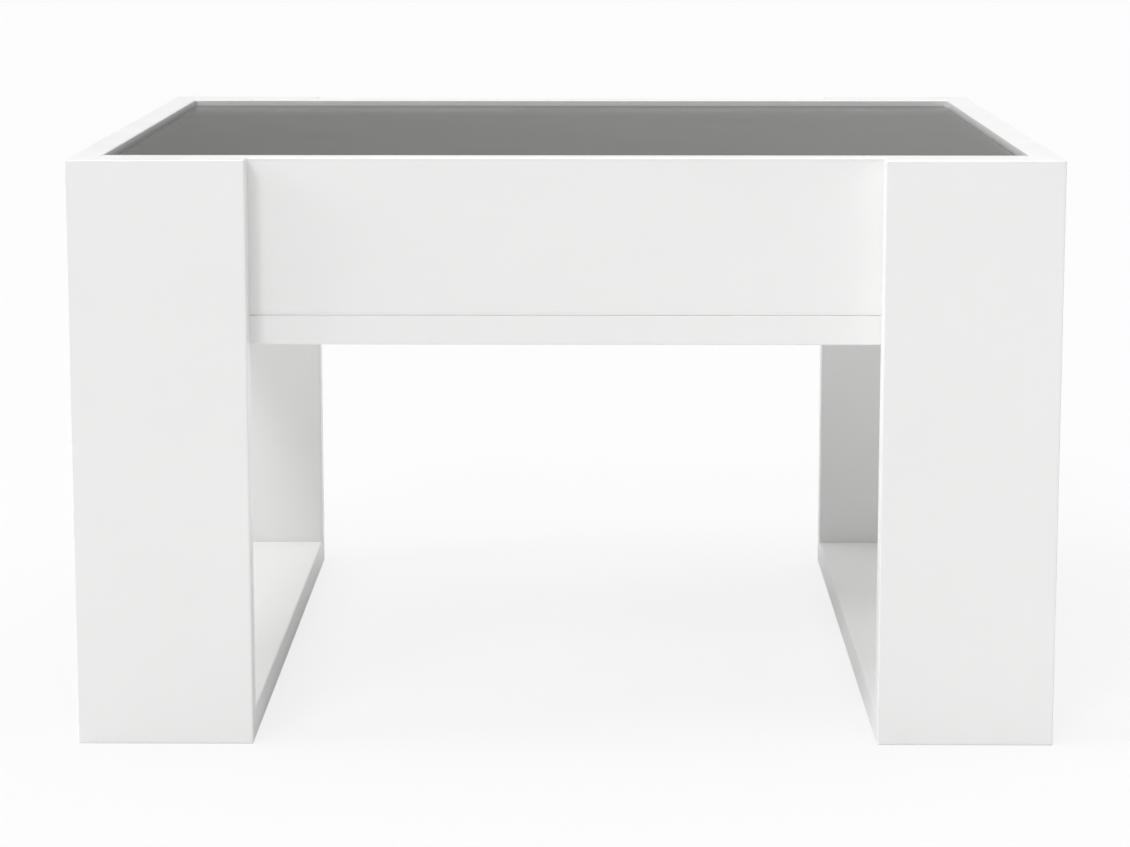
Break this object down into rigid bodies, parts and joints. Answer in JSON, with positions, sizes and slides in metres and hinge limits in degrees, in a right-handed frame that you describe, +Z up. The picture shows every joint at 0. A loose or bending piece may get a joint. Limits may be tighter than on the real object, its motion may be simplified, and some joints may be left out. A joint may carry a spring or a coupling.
{
  "type": "lift top coffee table",
  "caption": "Low white coffee table on two open leg loops, with a dark glass panel set in the rim that lifts up and forward over a shallow storage box.",
  "frame": {"origin": "on the floor, under the middle of the table", "axes": "+X to the right along the front, -Y out of the front, +Z up"},
  "size_m": [0.6, 0.55, 0.36],
  "materials": {
    "white_board": "white melamine facing with matching edge band, satin to gloss",
    "dark_glass": "polished toughened glass, painted black behind, warm grey in reflection",
    "bonding_tape": "black foam bonding tape",
    "plated_steel": "bright zinc plating on pressed sheet",
    "pivot_steel": "turned and zinc plated",
    "screw_steel": "bright zinc plating",
    "cam_alloy": "die cast, bead blasted",
    "spring_steel": "oiled black spring wire",
    "plain_wood": "unfinished softwood and beech",
    "pad_rubber": "matt moulded rubber",
    "pale_nylon": "moulded nylon",
    "grey_plastic": "moulded plastic, satin"
  },
  "bodies": {
    "frame": {"left_front_leg": "white_board", "right_front_leg": "white_board", "left_rear_leg": "white_board", "right_rear_leg": "white_board", "left_foot_board": "white_board", "right_foot_board": "white_board", "front_apron": "white_board", "rear_apron": "white_board", "left_side_panel": "white_board", "right_side_panel": "white_board", "bottom_board": "white_board", "left_base_bracket": "plated_steel", "right_base_bracket": "plated_steel", "spring_mandrels": "pivot_steel", "base_rivets": "pivot_steel", "stop_pins": "pivot_steel", "base_washers": "pale_nylon", "left_spring": "spring_steel", "right_spring": "spring_steel", "front_left_batten": "plain_wood", "front_right_batten": "plain_wood", "rear_batten": "plain_wood", "rest_pads": "pad_rubber", "latch_housing": "pale_nylon", "latch_spring": "spring_steel", "box_cam_locks": "cam_alloy", "box_cam_bolts": "screw_steel", "box_dowels": "plain_wood", "foot_cam_locks": "cam_alloy", "foot_cam_bolts": "screw_steel", "foot_dowels": "plain_wood", "leg_screws": "screw_steel", "bottom_screws": "screw_steel", "bracket_screws": "screw_steel", "batten_screws": "screw_steel", "latch_screws": "screw_steel"},
    "lift_panel": {"glass_top": "dark_glass", "glass_tapes": "bonding_tape", "carrier_board": "white_board", "left_top_bracket": "plated_steel", "right_top_bracket": "plated_steel", "top_rivets": "pivot_steel", "top_washers": "pale_nylon", "latch_strike": "plated_steel", "carrier_screws": "screw_steel", "strike_screw": "screw_steel"},
    "left_lower_arm": {"left_lower_arm": "plated_steel"},
    "right_lower_arm": {"right_lower_arm": "plated_steel"},
    "left_upper_arm": {"left_upper_arm": "plated_steel"},
    "right_upper_arm": {"right_upper_arm": "plated_steel"},
    "latch_plunger": {"latch_plunger": "grey_plastic"}
  },
  "joints": [
    {"name": "lift", "type": "hinge", "parent": "frame", "child": "left_lower_arm", "pos_m": [-0.277, -0.105, 0.282], "axis": [1, 0, 0], "range_deg": [0, 75], "stiffness_Nm_per_rad": 6, "springref_deg": 85.94, "deforming": ["left_spring"]},
    {"name": "right_lower_swing", "type": "hinge", "parent": "frame", "child": "right_lower_arm", "pos_m": [0.277, -0.105, 0.282], "axis": [1, 0, 0], "range_deg": [0, 75], "deforming": ["right_spring"]},
    {"name": "left_upper_swing", "type": "hinge", "parent": "frame", "child": "left_upper_arm", "pos_m": [-0.277, -0.14, 0.31], "axis": [1, 0, 0], "range_deg": [0, 75]},
    {"name": "right_upper_swing", "type": "hinge", "parent": "frame", "child": "right_upper_arm", "pos_m": [0.277, -0.14, 0.31], "axis": [1, 0, 0], "range_deg": [0, 75]},
    {"name": "panel_level", "type": "hinge", "parent": "left_lower_arm", "child": "lift_panel", "pos_m": [-0.277, 0.075, 0.282], "axis": [1, 0, 0], "range_deg": [-75, 0]},
    {"name": "latch_press", "type": "slide", "parent": "frame", "child": "latch_plunger", "axis": [0, 0, -1], "range_m": [0, 0.0015], "stiffness_N_per_m": 800, "deforming": ["latch_spring"]}
  ],
  "couplings": [
    {"joint": "right_lower_swing", "follows": "lift", "ratio": 1},
    {"joint": "left_upper_swing", "follows": "lift", "ratio": 1},
    {"joint": "right_upper_swing", "follows": "lift", "ratio": 1},
    {"joint": "panel_level", "follows": "lift", "ratio": -1}
  ]
}
